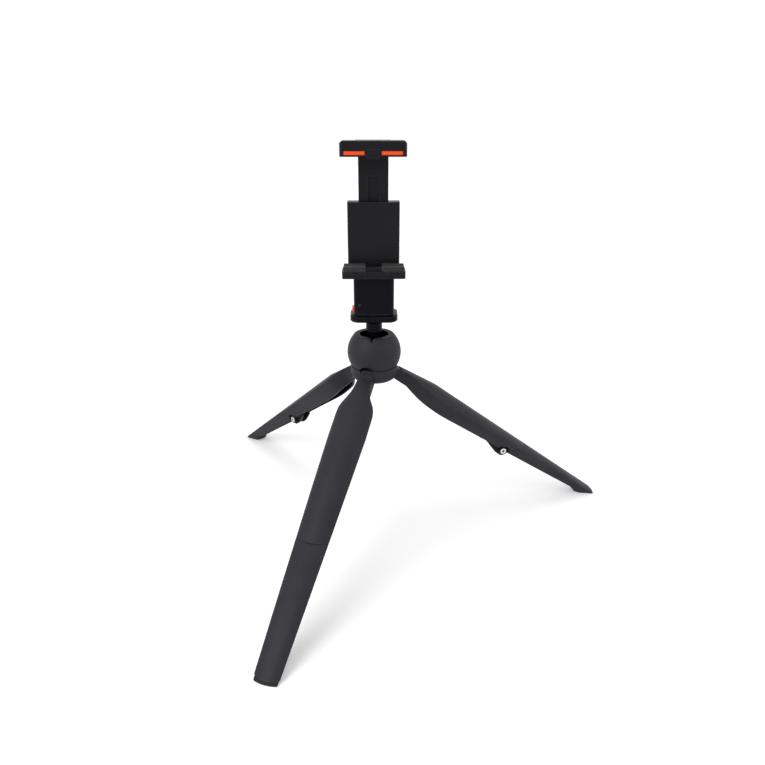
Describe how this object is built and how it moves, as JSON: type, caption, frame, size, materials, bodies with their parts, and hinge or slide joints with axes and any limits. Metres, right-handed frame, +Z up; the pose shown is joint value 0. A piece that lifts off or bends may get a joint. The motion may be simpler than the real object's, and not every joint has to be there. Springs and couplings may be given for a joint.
{
  "type": "table tripod with ball head and phone clamp",
  "caption": "Table tripod with folding jointed legs, a ball head and a spring-locked clamp that grips a phone by its long edges.",
  "frame": {"origin": "on the ground, under the axis of the hub, with the legs open", "axes": "+Z up along the hub axis, -Y towards the front of the clamp where the phone goes in, +X to the right seen from the front"},
  "size_m": [0.3354, 0.3498, 0.3051],
  "materials": {
    "charcoal": "satin",
    "black_plastic": "satin",
    "black_metal": "satin",
    "steel": "brushed",
    "brass": "satin",
    "black_rubber": "matte",
    "warm_rubber": "matte",
    "orange_rubber": "matte",
    "orange_plastic": "satin"
  },
  "bodies": {
    "hub": {"hub_housing": "charcoal", "leg_carrier": "charcoal", "hinge_pins": "steel", "tension_screw": "steel", "disc_springs": "steel"},
    "ball_seat": {"ball_cup": "black_plastic"},
    "ball_head": {"ball_stem": "black_metal", "head_plate": "black_plastic", "plate_pad": "black_rubber", "mount_stud": "steel"},
    "clamp": {"clamp_foot": "black_plastic", "foot_insert": "brass", "lower_jaw": "black_plastic", "lower_pads": "warm_rubber", "back_sleeve": "black_plastic", "sleeve_cover": "charcoal", "cover_screws": "steel", "lever_pin": "steel", "lever_spring": "steel", "lock_dot": "orange_plastic"},
    "lever": {"release_lever": "orange_plastic"},
    "slider": {"slide_bar": "black_plastic", "upper_jaw": "black_plastic", "upper_pads": "orange_rubber"},
    "leg_front": {"upper_leg_front": "charcoal", "knee_bracket_front": "black_plastic", "knee_pin_front": "steel"},
    "shin_front": {"lower_leg_front": "charcoal", "foot_pad_front": "black_rubber"},
    "leg_right": {"upper_leg_right": "charcoal", "knee_bracket_right": "black_plastic", "knee_pin_right": "steel"},
    "shin_right": {"lower_leg_right": "charcoal", "foot_pad_right": "black_rubber"},
    "leg_left": {"upper_leg_left": "charcoal", "knee_bracket_left": "black_plastic", "knee_pin_left": "steel"},
    "shin_left": {"lower_leg_left": "charcoal", "foot_pad_left": "black_rubber"}
  },
  "joints": [
    {"name": "ball_pan", "type": "hinge", "parent": "hub", "child": "ball_seat", "pos_m": [0, 0, 0.15074], "axis": [0, 0, 1], "continuous": true},
    {"name": "ball_tilt", "type": "hinge", "parent": "ball_seat", "child": "ball_head", "pos_m": [0, 0, 0.15074], "axis": [1, 0, 0], "range_deg": [-18, 18]},
    {"name": "clamp_spin", "type": "hinge", "parent": "ball_head", "child": "clamp", "pos_m": [0, 0, 0.18139], "axis": [0, 0, 1], "continuous": true},
    {"name": "jaw_slide", "type": "slide", "parent": "clamp", "child": "slider", "axis": [0, 0, 1], "range_m": [-0.0186, 0.0164]},
    {"name": "lever_press", "type": "hinge", "parent": "clamp", "child": "lever", "pos_m": [-0.01205, 0, 0.20729], "axis": [0, -1, 0], "range_deg": [0, 3], "stiffness_Nm_per_rad": 1, "springref_deg": -1.72},
    {"name": "leg_fold_front", "type": "hinge", "parent": "hub", "child": "leg_front", "pos_m": [-0.00402, -0.01131, 0.13299], "axis": [0.9421, -0.3355, 0], "range_deg": [0, 51.5]},
    {"name": "knee_fold_front", "type": "hinge", "parent": "leg_front", "child": "shin_front", "pos_m": [-0.03733, -0.10483, 0.05205], "axis": [-0.9421, 0.3355, 0], "range_deg": [-172, 0]},
    {"name": "leg_fold_right", "type": "hinge", "parent": "hub", "child": "leg_right", "pos_m": [0.0118, 0.00217, 0.13299], "axis": [-0.1805, 0.9836, 0], "range_deg": [0, 51.5]},
    {"name": "knee_fold_right", "type": "hinge", "parent": "leg_right", "child": "shin_right", "pos_m": [0.10945, 0.02009, 0.05205], "axis": [0.1805, -0.9836, 0], "range_deg": [-172, 0]},
    {"name": "leg_fold_left", "type": "hinge", "parent": "hub", "child": "leg_left", "pos_m": [-0.00778, 0.00914, 0.13299], "axis": [-0.7615, -0.6481, 0], "range_deg": [0, 51.5]},
    {"name": "knee_fold_left", "type": "hinge", "parent": "leg_left", "child": "shin_left", "pos_m": [-0.07212, 0.08474, 0.05205], "axis": [0.7615, 0.6481, 0], "range_deg": [-172, 0]}
  ]
}
